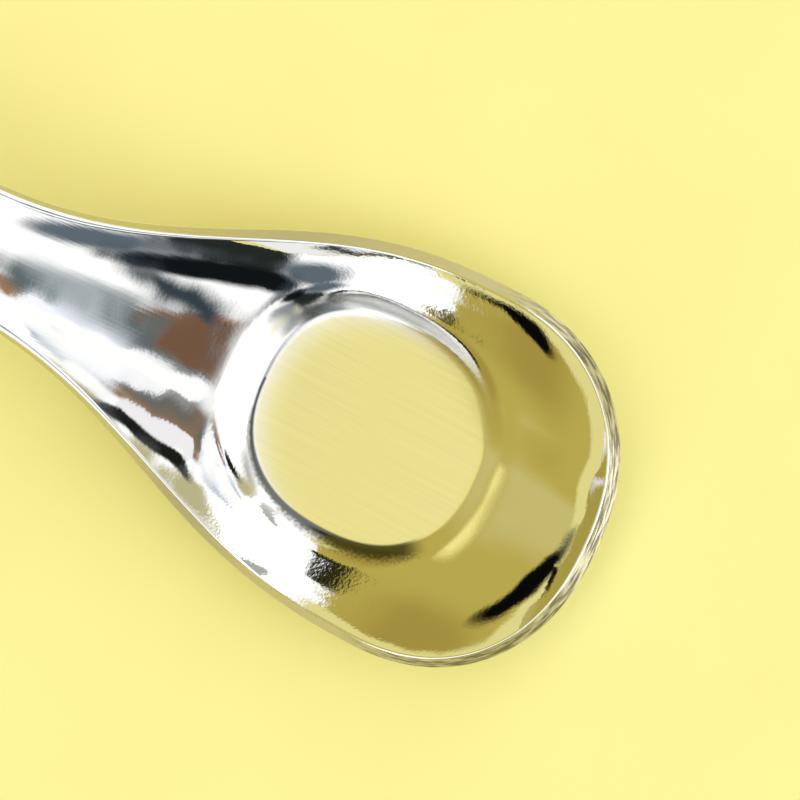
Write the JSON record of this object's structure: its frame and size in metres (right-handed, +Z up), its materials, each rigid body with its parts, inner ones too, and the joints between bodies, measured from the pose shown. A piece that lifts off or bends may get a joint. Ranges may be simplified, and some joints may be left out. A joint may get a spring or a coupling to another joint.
{
  "type": "soup spoon",
  "caption": "Flat-bottomed soup spoon pressed from one sheet of polished stainless steel, with a wide oval bowl, a round foot to stand on and a short channelled handle.",
  "frame": {"origin": "centre of the underside of the flat that the spoon stands on", "axes": "+X along the spoon to the tip of the bowl, with the handle towards -X; +Z up, out of the bowl; the spoon is mirror-symmetric about the XZ plane"},
  "size_m": [0.1063, 0.0438, 0.026],
  "materials": {
    "polished_steel": "mirror polished, with fine polishing lines along the handle and a ground edge around the bowl"
  },
  "bodies": {
    "root": {"spoon": "polished_steel"}
  },
  "joints": []
}
